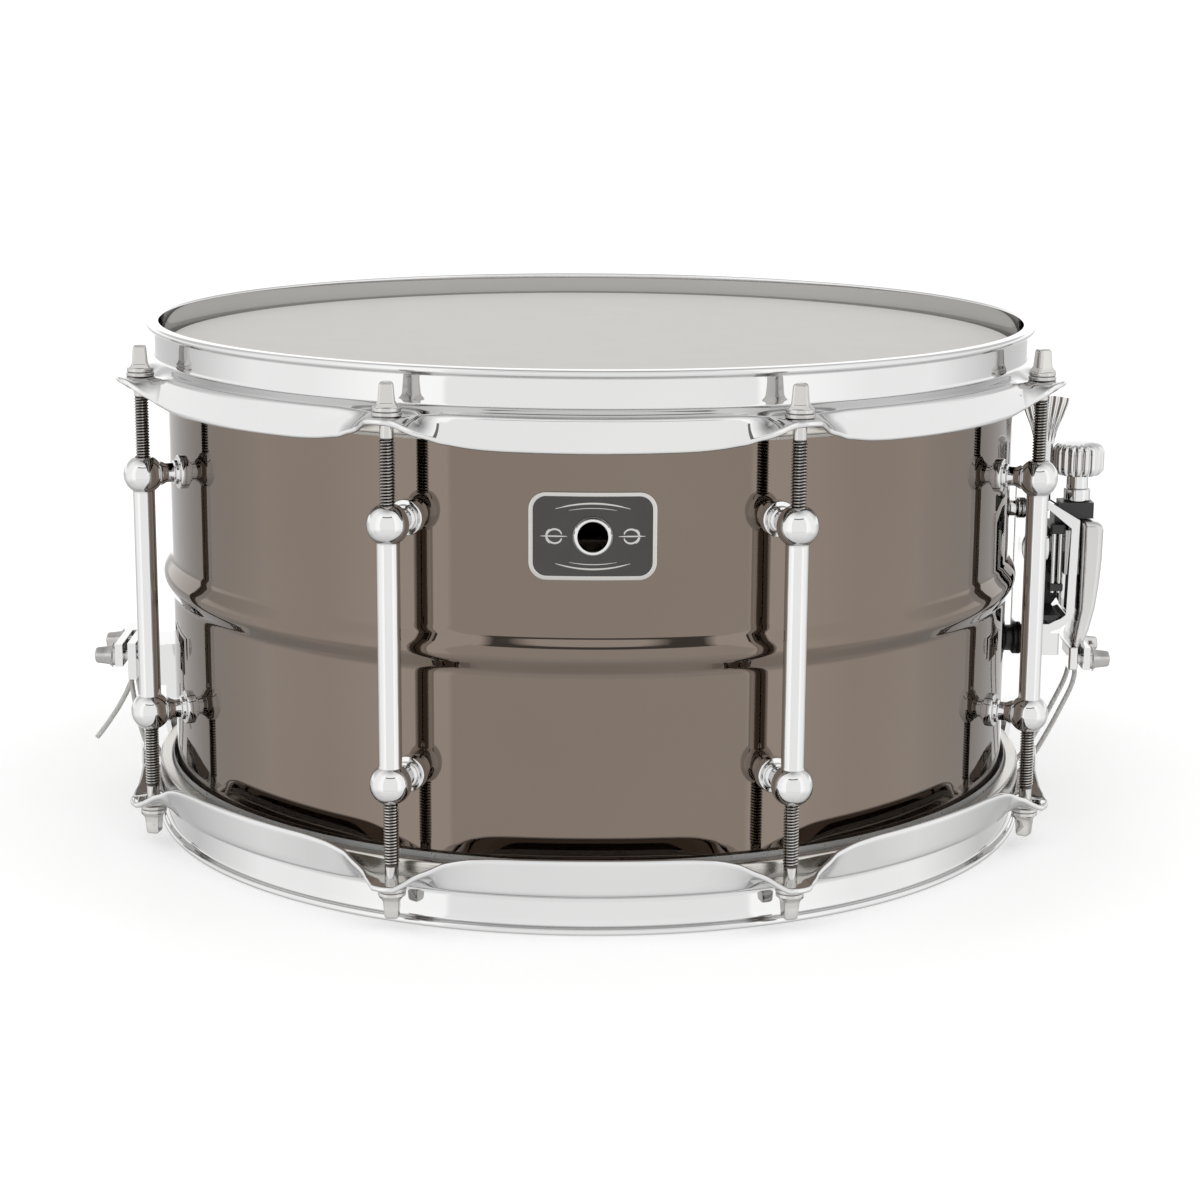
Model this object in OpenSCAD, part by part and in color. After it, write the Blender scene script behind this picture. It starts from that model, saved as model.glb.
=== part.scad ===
// Snare drum, 13 x 7 in, eight tube lugs.
// Frame: origin on the drum's axis at the plane it rests on, +Z up.
// -Y is the front, with the badge. +X is the throw-off, -X is the butt plate.

/* [Shell] */
// Outside diameter of the shell
shell_d = 328.6; // [328:0.2:330]
// Height of the shell from edge to edge
shell_h = 177.8; // [176:0.2:180]
// Wall thickness of the shell
shell_t = 1.2; // [1:0.1:1.5]
// How far the centre bead stands out
bead_out = 3.1; // [2.5:0.1:3.3]
// Height of the centre bead
bead_h = 18.5; // [17:0.5:20]

/* [Hoops] */
// How far each hoop's rim stands beyond the edge of the shell
rim_rise = 8.7; // [8.5:0.1:9]
// Inside radius of the hoop's upright wall
wall_r = 166.8; // [166.6:0.1:167]
// Outside radius of the rolled lip
lip_r = 171.7; // [171:0.1:172]
// Outside radius of the ears
ear_r = 187.7; // [186:0.1:189]
// Sheet thickness of the hoops
hoop_t = 2.2; // [2:0.1:2.4]
// Depth of the top hoop's skirt below its rim
top_skirt = 27.3; // [26:0.1:28]
// Depth of the bottom hoop's skirt from its rim
bottom_skirt = 29.5; // [28:0.1:30]

/* [Lugs and rods] */
// Number of lugs
lug_count = 8; // [8]
// Distance of the tension rods from the drum's axis
rod_ring_r = 179; // [178.8:0.1:179.4]
// Distance between the two balls of a lug
ball_span = 90.1; // [86:0.1:94]
// Diameter of a lug's balls
ball_d = 14.6; // [14:0.1:15]
// Diameter of a lug's tube
tube_d = 8; // [7.6:0.1:8.6]
// Diameter of a tension rod's thread
rod_d = 5.3; // [5:0.1:5.5]
// Length of a tension rod below its collar
rod_len = 62; // [56:1:66]
// Width across the flats of the square key heads
key_w = 5.8; // [5.6:0.1:6.35]

/* [Badge and vent] */
// Width of the badge
badge_w = 43.2; // [40:0.1:46]
// Height of the badge
badge_h = 30; // [28:0.1:32]
// Height of the badge's centre above the resting plane
badge_z = 138.6; // [136:0.1:141]
// Diameter of the vent hole through the grommet
vent_d = 10.2; // [9:0.1:11]

/* [Snares] */
// Number of snare strands
strands = 20; // [16:2:24]
// Distance between neighbouring strands
strand_pitch = 3.1; // [2.8:0.1:3.2]
// Outside diameter of a strand's coil
strand_d = 2.2; // [2:0.1:2.2]
// Length of the strands
strand_len = 264; // [250:2:270]
// Diameter of the snare cords
cord_d = 2; // [1.8:0.1:2.2]

/* [Throw-off] */
// Height of the throw lever's pivot
pivot_z = 104; // [102:0.5:106]
// Crank radius of the throw lever
crank_r = 6.5; // [6:0.1:7]
// Angle that the throw lever swings through
throw_deg = 75; // [70:1:78]
// Diameter of the fine-tuning knob
knob_d = 20.4; // [19:0.1:21]
// Height of the clamp screws above the resting plane
clamp_z = 60.5; // [60:0.1:61]

/* [Hidden] */
$fn = 96;
eps = 0.01;
run = 0.05;
shell_r = shell_d / 2;
total_h = shell_h + 2 * rim_rise;
mid_z = total_h / 2;
lug_step = 360 / lug_count;

// Head and flesh hoop, measured from the rim of the near hoop
film_t = 0.35;
edge_in = 1.6;
curl_in = 4.6;
bead_steps = 8;
film_r = 165.6;
flesh_in = 166;
flesh_out = 171.2;
flesh_h = 10;

// Hoop section, measured down from the rim
lip_t = 2.6;
ledge_top = 13.3;
ledge_fall = 1.1;
ledge_r = 173.7;
ledge_in = 172;
skirt_r = 176.5;
skirt_flare = 1.6;
ear_top = 16;
ear_half = 6;
ear_hole_d = 6.4;
gate_half = 26;

// Tension rods
washer_t = 1.5;
washer_d = 10.2;
collar_t = 1.5;
collar_d = 9.8;
key_h = 8.4;
shank_d = 4.9;
shank_len = 9;
bore_d = rod_d + 2 * run;
post_d = 7.2;
foot_d = 12.6;
foot_t = 1.9;
screw_d = 4;
screw_depth = 4.5;

// Badge and vent
badge_t = 0.8;
badge_corner = 6;
grommet_d = 13.6;
grommet_t = 0.8;
grommet_out = 1.2;

// Throw-off, distances from the drum's axis along +X
base_x = 171;
base_t = 3;
base_w = 28;
frame_w = 24;
frame_t = 3.2;
frame_top = 123.3;
frame_corner_x = 192.6;
frame_corner_z = 116;
frame_low_z = 71;
slot_half = 5.6;
tongue_half = 5.5;
lever_x = 176.2;
lever_t = 5.6;
knob_x = 193;
knob_z = 132.6;
knob_h = 13.6;
stem_d = 4;
stem_low = 90;
tongue_low = 93;
head_z = 115.7;
head_h = 6.3;
carriage_x = 193.2;
carriage_gap = 0.3;
clamp_x = 194.9;
clamp_w = 38;
screw_y = 13;
crank_d = 3;
crank_deg = throw_deg / 2;
crank_y = crank_r * cos(crank_deg);
crank_z = pivot_z + crank_r * sin(crank_deg);
crank_gap = 0.35;

// Butt plate, distances from the drum's axis along -X
butt_back_x = 178.8;
butt_back_t = 3.2;
butt_clamp_x = butt_back_x + butt_back_t + cord_d;
butt_clamp_t = 3;

// Snares
strand_z = rim_rise - film_t - 0.3 - strand_d / 2;
plate_x = 126;
plate_l = 15;
plate_t = 0.9;
plate_w = 64;
cord_y = 7;
tail_y = -4;

// Routes of the cords' centre lines, distance from the axis and height
strainer_route = [
    [194, 65.5], [194, 60], [193.9, 55.5], [192.6, 50], [190, 43], [186.6, 35],
    [183, 27], [179, 19.5], [174.4, 13.2], [169.4, 9], [164, 7], [158, 6.9], [148, 6.9], [138, 6.9]
];
butt_route = [
    [183, 66], [183, 58], [183, 52], [182.6, 46], [181.4, 38], [179.6, 29],
    [177, 20.5], [173.4, 13.2], [168.8, 9], [163.6, 7], [158, 6.9], [148, 6.9], [138, 6.9]
];
tail_route = [
    [183, 51.5], [183, 49.5], [183.5, 47.5], [184.5, 45.2], [185.7, 42.6], [187.1, 40],
    [188.7, 37.2], [190.5, 34.4], [192.4, 31.6], [194.4, 28.8], [196.4, 26.2], [197.9, 24.3]
];

// ---- Helpers ----

// Children stand at the top end of the drum
module at_bottom() {
    translate([0, 0, total_h]) mirror([0, 0, 1]) children();
}

// Turns children, built at azimuth 0 along +X, to the place of lug k
module at_lug(k) {
    rotate([0, 0, lug_step * (k - 0.5)]) children();
}

// A cylinder that lies along +X from x = from to x = to
module bar_x(from, to, d) {
    translate([from, 0, 0]) rotate([0, 90, 0]) cylinder(d = d, h = to - from);
}

// A ring of rectangular section
module ring(r_in, r_out, z_low, z_high) {
    translate([0, 0, z_low]) difference() {
        cylinder(r = r_out, h = z_high - z_low, $fn = 240);
        translate([0, 0, -1]) cylinder(r = r_in, h = z_high - z_low + 2, $fn = 240);
    }
}

// A wedge of the plane around +X, for windows between the ears
module wedge(half, r, z_low, z_high) {
    translate([0, 0, z_low]) linear_extrude(z_high - z_low)
        polygon([[0, 0], [r, -r * tan(half)], [r, r * tan(half)]]);
}

// A tube of n sides swept along a list of points
module tube_along(points, d, n = 8) {
    last = len(points) - 1;
    function forward(i) = points[min(i + 1, last)] - points[max(i - 1, 0)];
    function unit(v) = v / norm(v);
    function corner(i, j) =
        let(f = unit(forward(i)), side = unit(cross(f, [0, 1, 0])), up = cross(side, f), a = 360 * j / n)
        points[i] + d / 2 * (cos(a) * side + sin(a) * up);
    verts = [for (i = [0:last]) for (j = [0:n - 1]) corner(i, j)];
    walls = [for (i = [0:last - 1]) for (j = [0:n - 1])
        [i * n + j, i * n + (j + 1) % n, (i + 1) * n + (j + 1) % n, (i + 1) * n + j]];
    polyhedron(verts, concat(walls, [[for (j = [n - 1:-1:0]) j]], [[for (j = [0:n - 1]) last * n + j]]));
}

// ---- Shell, vent and badge ----

// Points of one surface of the bead, on an arc of radius r round c that meets the wall at wall_x.
// They run upwards where way is 1, and downwards where it is -1
function bead_arc(c, r, wall_x, way) = [for (i = [-bead_steps:bead_steps])
    let(a = way * i / bead_steps * acos((wall_x - c) / r)) [c + r * cos(a), mid_z + r * sin(a)]];

// Points of the rolled edge at the bottom, from its outside to its inside
function edge_points() = [
    [shell_r, rim_rise + edge_in], [shell_r - edge_in, rim_rise], [shell_r - curl_in, rim_rise + 1.8],
    [shell_r - curl_in, rim_rise + 3.4], [shell_r - edge_in, rim_rise + 2], [shell_r - shell_t, rim_rise + 3.2]
];

function upside_down(points) = [for (i = [len(points) - 1:-1:0]) [points[i][0], total_h - points[i][1]]];

// Section of the wall with its bead and its two rolled edges, in radius and height
module shell_section() {
    bead_r = (pow(bead_h / 2, 2) + pow(bead_out, 2)) / (2 * bead_out);
    bead_c = shell_r + bead_out - bead_r;
    polygon(concat(
        upside_down(edge_points()), bead_arc(bead_c, bead_r, shell_r, -1), edge_points(),
        bead_arc(bead_c, bead_r - shell_t, shell_r - shell_t, 1)
    ));
}

module shell() {
    color([0.34, 0.31, 0.28]) difference() {
        rotate_extrude($fn = 240) shell_section();
        for (k = [1:lug_count]) at_lug(k)
            for (s = [-1, 1]) translate([0, 0, mid_z + s * ball_span / 2])
                bar_x(shell_r - 6, shell_r + 6, screw_d + 0.4);
        translate([0, 0, badge_z]) rotate([0, 0, -90]) bar_x(shell_r - 6, shell_r + 6, vent_d + 1.8);
        for (z = [66, 119]) translate([0, 0, z]) bar_x(shell_r - 6, shell_r + 6, screw_d + 0.4);
        for (y = [-10, 10]) translate([0, y, 56]) rotate([0, 0, 180])
            bar_x(shell_r - 6, shell_r + 6, screw_d + 0.4);
    }
}

module rounded_plate(w, h, r) {
    square([w - 2 * r, h], center = true);
    square([w, h - 2 * r], center = true);
    for (x = [-1, 1]) for (y = [-1, 1]) translate([x * (w / 2 - r), y * (h / 2 - r)]) circle(r = r);
}

module badge() {
    color([0.05, 0.05, 0.05]) difference() {
        intersection() {
            ring(shell_r, shell_r + badge_t, badge_z - badge_h, badge_z + badge_h);
            translate([0, -shell_r - 4, badge_z]) rotate([-90, 0, 0])
                linear_extrude(12) rounded_plate(badge_w, badge_h, badge_corner);
        }
        translate([0, 0, badge_z]) rotate([0, 0, -90])
            bar_x(shell_r - 4, shell_r + 4, vent_d + 2 * grommet_t + 0.2);
    }
}

module vent_grommet() {
    face = shell_r + badge_t;
    color([0.8, 0.8, 0.8]) translate([0, 0, badge_z]) rotate([0, 0, -90]) difference() {
        union() {
            bar_x(shell_r - shell_t - 1.6, face + grommet_out, vent_d + 1.6);
            bar_x(face + 0.05, face + grommet_out, grommet_d);
            bar_x(shell_r - shell_t - 1.6, shell_r - shell_t - 0.3, grommet_d);
        }
        bar_x(shell_r - 8, shell_r + 8, vent_d);
    }
}

// ---- Heads and hoops, drawn for the top end ----

module head_at_top() {
    edge_z = total_h - rim_rise;
    low = total_h - ear_top - flesh_h + 0.6;
    rotate_extrude($fn = 240) polygon([
        [0, edge_z], [shell_r - edge_in, edge_z], [shell_r + 0.5, edge_z - 1.9], [film_r, edge_z - 5],
        [film_r, low], [flesh_in, low], [flesh_in, edge_z - 4.8], [shell_r + 0.8, edge_z - 1.5],
        [shell_r - edge_in + 0.1, edge_z + film_t], [0, edge_z + film_t]
    ]);
}

module flesh_hoop_at_top() {
    high = total_h - ear_top;
    ring(flesh_in, flesh_out, high - flesh_h, high);
}

module batter_head() color([0.92, 0.91, 0.9]) head_at_top();
module snare_head() color([0.85, 0.85, 0.84]) at_bottom() head_at_top();
module batter_flesh_hoop() color([0.75, 0.75, 0.73]) flesh_hoop_at_top();
module snare_flesh_hoop() color([0.75, 0.75, 0.73]) at_bottom() flesh_hoop_at_top();

// Section of the lip, the wall, the ledge and the skirt, with z measured down from the rim
module hoop_section(depth) {
    step = -ear_top - 0.3;
    under = -ear_top - hoop_t + 0.2;
    translate([lip_r - lip_t / 2, -lip_t / 2]) circle(d = lip_t, $fn = 48);
    polygon([
        [wall_r, 0], [lip_r - lip_t / 2, 0], [lip_r - lip_t / 2, -lip_t], [wall_r + hoop_t, -lip_t],
        [wall_r + hoop_t, -ledge_top], [ledge_r, -ledge_top - ledge_fall], [ledge_r, step], [skirt_r, step],
        [skirt_r + skirt_flare, -depth], [skirt_r + skirt_flare - hoop_t, -depth],
        [skirt_r - hoop_t, under], [ledge_in, under], [ledge_in, -ear_top], [wall_r, -ear_top]
    ]);
}

// A complete hoop for the top end. Its rim is at z = total_h
module hoop_at_top(depth, gated) {
    translate([0, 0, total_h]) difference() {
        union() {
            difference() {
                rotate_extrude($fn = 240) hoop_section(depth);
                for (k = [1:lug_count]) at_lug(k) wedge(ear_half, 220, -depth - 1, -ear_top - hoop_t / 2);
            }
            for (k = [1:lug_count]) at_lug(k) intersection() {
                ring(ledge_in + 0.5, ear_r, -ear_top - hoop_t, -ear_top);
                wedge(ear_half, 220, -depth, 0);
            }
        }
        for (k = [1:lug_count]) at_lug(k)
            translate([rod_ring_r, 0, -depth]) cylinder(d = ear_hole_d, h = depth);
        if (gated) for (s = [-1, 1]) translate([s * 175, 0, -lip_t - 0.4 - depth / 2])
            cube([40, 2 * gate_half, depth + eps], center = true);
    }
}

module batter_hoop() color([0.86, 0.87, 0.88]) hoop_at_top(top_skirt, false);
module snare_hoop() color([0.86, 0.87, 0.88]) at_bottom() hoop_at_top(bottom_skirt, true);

// ---- Lugs and tension rods ----

module lug(k) {
    color([0.84, 0.85, 0.86]) at_lug(k) difference() {
        union() {
            translate([rod_ring_r, 0, mid_z - ball_span / 2]) cylinder(d = tube_d, h = ball_span);
            for (s = [-1, 1]) translate([0, 0, mid_z + s * ball_span / 2]) {
                translate([rod_ring_r, 0, 0]) sphere(d = ball_d);
                bar_x(shell_r + 0.2, rod_ring_r, post_d);
                difference() {
                    bar_x(shell_r - 1, shell_r + foot_t, foot_d);
                    translate([0, 0, -foot_d]) cylinder(r = shell_r + 0.02, h = 2 * foot_d, $fn = 240);
                }
            }
        }
        translate([rod_ring_r, 0, 0]) cylinder(d = bore_d, h = total_h);
        for (s = [-1, 1]) translate([0, 0, mid_z + s * ball_span / 2])
            bar_x(shell_r - 2, shell_r + screw_depth + 0.5, screw_d + 2 * run);
    }
}

// Screws that hold the lugs, with their washers, inside the shell
module lug_screws() {
    seat = shell_r - shell_t - 0.15;
    color([0.7, 0.7, 0.7]) for (k = [1:lug_count]) at_lug(k)
        for (s = [-1, 1]) translate([0, 0, mid_z + s * ball_span / 2]) {
            bar_x(seat - 2.4, shell_r + screw_depth, screw_d);
            bar_x(seat - 1.2, seat, 10);
            bar_x(seat - 4.2, seat - 1.2, 7);
        }
}

module washers_at_top() {
    low = total_h - ear_top;
    for (k = [1:lug_count]) at_lug(k) translate([rod_ring_r, 0, low]) difference() {
        cylinder(d = washer_d, h = washer_t);
        translate([0, 0, -1]) cylinder(d = rod_d + 0.6, h = washer_t + 2);
    }
}

module rod_washers() {
    color([0.75, 0.75, 0.75]) {
        washers_at_top();
        at_bottom() washers_at_top();
    }
}

// Square key head with chamfered corners, standing on z = 0
module key_head(h) {
    intersection() {
        translate([-key_w / 2, -key_w / 2, 0]) cube([key_w, key_w, h]);
        cylinder(r1 = key_w * 0.72, r2 = key_w * 0.5, h = h);
    }
}

module rod_at_top(k) {
    seat = total_h - ear_top + washer_t + run;
    at_lug(k) translate([rod_ring_r, 0, seat]) {
        cylinder(d = collar_d, h = collar_t);
        translate([0, 0, collar_t - eps]) key_head(key_h);
        translate([0, 0, -shank_len]) cylinder(d = shank_d, h = shank_len + eps);
        translate([0, 0, -rod_len]) cylinder(d = rod_d, h = rod_len - shank_len + eps);
    }
}

module top_rod(k) color([0.72, 0.73, 0.74]) rod_at_top(k);
module bottom_rod(k) color([0.72, 0.73, 0.74]) at_bottom() rod_at_top(k);

// ---- Throw-off ----

// Side outline of the bent frame, in distance from the axis and height
module frame_outline(inset) {
    polygon([
        [base_x, frame_top + 3.2 - inset], [180.5, frame_top - inset],
        [frame_corner_x - inset, frame_corner_z - inset], [191.8 - inset, 79 - inset * 0.3],
        [189.6 - inset, 75 + inset * 0.4], [186.5 - inset * 0.6, 72.4 + inset],
        [182, frame_low_z + inset], [base_x, frame_low_z + inset]
    ]);
}

module strainer_base() {
    color([0.8, 0.8, 0.8]) difference() {
        union() {
            translate([base_x, -base_w / 2, 58]) cube([base_t, base_w, 69]);
            translate([0, frame_w / 2, 0]) rotate([90, 0, 0]) linear_extrude(frame_w) difference() {
                frame_outline(0);
                frame_outline(frame_t);
            }
            translate([base_x + base_t - eps, -slot_half, 60]) cube([13.5, 2 * slot_half, 9]);
            translate([base_x + 9, -slot_half, 68]) cube([4, 2 * slot_half, 6]);
        }
        translate([lever_x, -slot_half, frame_low_z + 8]) cube([30, 2 * slot_half, 60]);
        translate([base_x + base_t, -slot_half, 108]) cube([9.6, frame_w, 30]);
        translate([0, 0, pivot_z]) bar_x(base_x - 1, base_x + base_t + 1, 6 + 2 * run);
        for (z = [66, 119]) translate([0, 0, z]) bar_x(base_x - 1, base_x + base_t + 1, screw_d + 2 * run);
    }
}

// Two black feet that carry the base clear of the bead
module strainer_spacers() {
    color([0.06, 0.06, 0.06]) difference() {
        for (z = [66, 119]) translate([0, 0, z]) bar_x(shell_r - 3, base_x, 16);
        cylinder(r = shell_r + 0.02, h = total_h, $fn = 240);
        for (z = [66, 119]) translate([0, 0, z]) bar_x(shell_r - 5, base_x + 1, screw_d + 0.4);
    }
}

module strainer_screws() {
    seat = shell_r - shell_t - 0.15;
    color([0.7, 0.7, 0.7]) for (z = [66, 119]) translate([0, 0, z]) {
        bar_x(seat - 2, base_x + base_t - 0.5, screw_d);
        bar_x(seat - 3.2, seat, 8);
    }
}

module lever_pivot() {
    color([0.6, 0.6, 0.6]) translate([0, 0, pivot_z]) {
        bar_x(base_x, lever_x + lever_t + 0.9, 6);
        bar_x(base_x + base_t, lever_x - 0.1, 10);
    }
}

// The lever, with its thumb fan at the top, its hub and its crank pin
module throw_lever() {
    fan_top = 163;
    fan_low = 149;
    color([0.75, 0.75, 0.75]) {
        difference() {
            union() {
                translate([0, 0, pivot_z]) bar_x(lever_x, lever_x + lever_t, 17);
                translate([lever_x, -2.4, pivot_z]) cube([lever_t, 4.8, 26]);
                translate([0, 2, 0]) rotate([90, 0, 0]) linear_extrude(4) polygon([
                    [175, 118], [182.3, 118], [182.3, 144], [182.6, fan_low],
                    [188.2, fan_top - 0.6], [183.6, fan_top + 0.4], [179, fan_top + 0.7],
                    [174.4, fan_top + 0.4], [169.8, fan_top - 0.6],
                    [175, fan_low], [175.4, 144]
                ]);
            }
            translate([0, 0, pivot_z]) bar_x(lever_x - 1, lever_x + lever_t + 1, 6 + 2 * run);
        }
        translate([0, crank_y, crank_z]) bar_x(lever_x + lever_t - eps, 187.6, crank_d);
    }
}

// Moving head and spine, lifted and dropped by the crank pin
module throw_slide() {
    spine_x = 183.6;
    spine_t = 3.8;
    slot_h = crank_d + 2 * crank_gap;
    color([0.07, 0.07, 0.07]) difference() {
        union() {
            translate([186, -tongue_half, head_z]) cube([13, 2 * tongue_half, head_h]);
            translate([spine_x, -tongue_half, 92]) cube([spine_t, 2 * tongue_half, head_z + 3 - 92]);
            translate([spine_x, -tongue_half, 99.5]) cube([spine_t, 16.3, 13.2]);
        }
        translate([spine_x - 1, crank_y - crank_d / 2 - crank_gap, crank_z - slot_h / 2])
            cube([spine_t + 2, crank_d + 2 * crank_gap + crank_r - crank_y, slot_h]);
        translate([0, 0, pivot_z]) bar_x(lever_x, spine_x + 0.2, 12);
        translate([knob_x, 0, head_z - 1]) cylinder(d = stem_d + 2 * run, h = head_h + 2);
    }
}

module tuning_knob() {
    flutes = 20;
    color([0.82, 0.82, 0.83]) translate([knob_x, 0, 0]) {
        difference() {
            union() {
                translate([0, 0, knob_z]) cylinder(d1 = knob_d - 3, d2 = knob_d, h = 2.4);
                translate([0, 0, knob_z + 2.4 - eps]) cylinder(d = knob_d, h = knob_h - 5.4);
                translate([0, 0, knob_z + knob_h - 3 - eps]) cylinder(d1 = knob_d, d2 = knob_d - 5, h = 3);
            }
            for (i = [0:flutes - 1]) rotate([0, 0, 360 * i / flutes])
                translate([knob_d / 2 + 0.5, 0, knob_z - 1]) cylinder(d = 2.3, h = knob_h + 2, $fn = 24);
        }
        translate([0, 0, head_z + head_h + 5]) cylinder(d = 8.6, h = knob_z - head_z - head_h - 5 + eps);
        translate([0, 0, head_z + head_h + run]) cylinder(d = 10.6, h = 5);
        translate([0, 0, stem_low]) cylinder(d = stem_d, h = knob_z - stem_low);
    }
}

// Outer cover with its guide tongue, nut bore and the back jaw of the clamp
module clamp_carriage() {
    top = head_z - carriage_gap;
    color([0.84, 0.85, 0.86]) difference() {
        union() {
            translate([0, 11, 0]) rotate([90, 0, 0]) linear_extrude(22) polygon([
                [carriage_x, top], [200, top], [202.4, top - 1.2], [203.2, top - 4], [203, 100],
                [202.3, 90], [201, 80], [199, 71.5], [196.4, 64.5], [191.2, 62], [191.2, 68],
                [carriage_x, 78]
            ]);
            translate([188.4, -tongue_half, tongue_low])
                cube([carriage_x - 188.4 + eps, 2 * tongue_half, 111 - tongue_low]);
            translate([189.2, -clamp_w / 2, 57]) cube([clamp_x - cord_d - 189.2 + run, clamp_w, 9.4]);
        }
        translate([knob_x, 0, stem_low - 2]) cylinder(d = stem_d + 2 * run, h = 40);
        translate([clamp_x - cord_d + run, -12, 56]) cube([12, 24, 10.6]);
        for (y = [-screw_y, screw_y]) translate([0, y, clamp_z]) bar_x(188, clamp_x, screw_d + 2 * run);
    }
}

module clamp_plate(x, t) {
    difference() {
        translate([x, -clamp_w / 2, 57.2]) cube([t, clamp_w, 9]);
        for (y = [-screw_y, screw_y]) translate([0, y, clamp_z]) bar_x(x - 1, x + t + 1, screw_d + 0.4);
    }
}

// Clamp screw with a collar and a square key head, its collar seated at x
module key_screw(x, y, depth) {
    translate([x, y, clamp_z]) rotate([0, 90, 0]) {
        translate([0, 0, -depth]) cylinder(d = screw_d, h = depth + eps);
        cylinder(d = 8.4, h = 1.6);
        translate([0, 0, 1.6 - eps]) intersection() {
            translate([-key_w / 2, -key_w / 2, 0]) cube([key_w, key_w, 7.2]);
            cylinder(r1 = key_w * 0.72, r2 = key_w * 0.55, h = 7.2);
        }
    }
}

module strainer_clamp_plate() color([0.82, 0.83, 0.84]) clamp_plate(clamp_x + 3 * run, 2.6);
module strainer_key_screw(y) color([0.7, 0.7, 0.7]) key_screw(clamp_x + 2.6 + 4 * run, y, 8);

// ---- Butt plate, drawn along +X and turned to -X ----

module butt_bracket() {
    bridge = butt_back_x - shell_r - 2;
    color([0.82, 0.83, 0.84]) rotate([0, 0, 180]) difference() {
        union() {
            translate([butt_back_x, -clamp_w / 2, 52]) cube([butt_back_t, clamp_w, 14.6]);
            translate([shell_r - 3, -17, 44]) cube([6.2, 34, 22]);
            translate([shell_r + 2, -12, 62]) cube([bridge + eps, 24, 2.4]);
            for (y = [-12, 9.6]) translate([shell_r + 2, y, 48]) cube([bridge + eps, 2.4, 16]);
        }
        cylinder(r = shell_r + 0.02, h = total_h, $fn = 240);
        for (y = [-10, 10]) translate([0, y, 56]) bar_x(shell_r - 3, shell_r + 2.6, screw_d + 2 * run);
        for (y = [-screw_y, screw_y]) translate([0, y, clamp_z])
            bar_x(butt_back_x - 1, butt_back_x + 5, screw_d + 2 * run);
    }
}

module butt_screws() {
    seat = shell_r - shell_t - 0.8;
    color([0.7, 0.7, 0.7]) rotate([0, 0, 180]) for (y = [-10, 10]) translate([0, y, 56]) {
        bar_x(seat - 2, shell_r + 2.2, screw_d);
        bar_x(seat - 3.2, seat, 8);
    }
}

module butt_clamp_plate() {
    color([0.82, 0.83, 0.84]) rotate([0, 0, 180]) clamp_plate(butt_clamp_x, butt_clamp_t);
}

module butt_key_screw(y) {
    color([0.7, 0.7, 0.7]) rotate([0, 0, 180]) key_screw(butt_clamp_x + butt_clamp_t + run, y, 8);
}

// ---- Snares and cords ----

module snare_wires() {
    half = strand_len / 2;
    color([0.75, 0.74, 0.72]) for (i = [0:strands - 1])
        translate([0, (i - (strands - 1) / 2) * strand_pitch, strand_z]) bar_x(-half, half, strand_d);
}

module snare_plate() {
    color([0.7, 0.66, 0.55]) difference() {
        translate([plate_x, -plate_w / 2, strand_z - strand_d / 2 - plate_t])
            cube([plate_l, plate_w, plate_t]);
        for (y = [-cord_y, cord_y]) translate([plate_x + plate_l - 3, y, 0]) cylinder(d = 2.4, h = 12);
    }
}

module snare_plate_strainer() snare_plate();
module snare_plate_butt() mirror([1, 0, 0]) snare_plate();

// Two cords side by side along one route, s = 1 at the throw-off and -1 at the butt
module cord_pair(route, s) {
    color([0.85, 0.85, 0.82]) for (y = [-cord_y, cord_y])
        tube_along([for (p = route) [s * p[0], y, p[1]]], cord_d);
}

module strainer_cords() cord_pair(strainer_route, 1);

// The pair, and the end of one cord between the clamp's jaws
module butt_cords() {
    cord_pair(butt_route, -1);
    color([0.85, 0.85, 0.82])
        tube_along([for (z = [66, 60, tail_route[0][1]]) [-tail_route[0][0], tail_y, z]], cord_d);
}

module cord_tail() {
    color([0.85, 0.85, 0.82]) tube_along([for (p = tail_route) [-p[0], tail_y, p[1]]], cord_d);
}

shell();
vent_grommet();
badge();
batter_head();
batter_flesh_hoop();
snare_head();
snare_flesh_hoop();
batter_hoop();
snare_hoop();
lug(1);  // lug_1
lug(2);  // lug_2
lug(3);  // lug_3
lug(4);  // lug_4
lug(5);  // lug_5
lug(6);  // lug_6
lug(7);  // lug_7
lug(8);  // lug_8
lug_screws();
rod_washers();
top_rod(1);  // top_rod_1
top_rod(2);  // top_rod_2
top_rod(3);  // top_rod_3
top_rod(4);  // top_rod_4
top_rod(5);  // top_rod_5
top_rod(6);  // top_rod_6
top_rod(7);  // top_rod_7
top_rod(8);  // top_rod_8
bottom_rod(1);  // bottom_rod_1
bottom_rod(2);  // bottom_rod_2
bottom_rod(3);  // bottom_rod_3
bottom_rod(4);  // bottom_rod_4
bottom_rod(5);  // bottom_rod_5
bottom_rod(6);  // bottom_rod_6
bottom_rod(7);  // bottom_rod_7
bottom_rod(8);  // bottom_rod_8
strainer_base();
strainer_spacers();
strainer_screws();
lever_pivot();
throw_lever();
throw_slide();
tuning_knob();
clamp_carriage();
strainer_clamp_plate();
strainer_key_screw(-screw_y);  // strainer_key_screw_1
strainer_key_screw(screw_y);  // strainer_key_screw_2
butt_bracket();
butt_screws();
butt_clamp_plate();
butt_key_screw(screw_y);  // butt_key_screw_1
butt_key_screw(-screw_y);  // butt_key_screw_2
snare_wires();
snare_plate_strainer();
snare_plate_butt();
strainer_cords();
butt_cords();
cord_tail();
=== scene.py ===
import math
import random

import bmesh
import bpy
import numpy as np
from mathutils import Matrix, Vector


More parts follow.
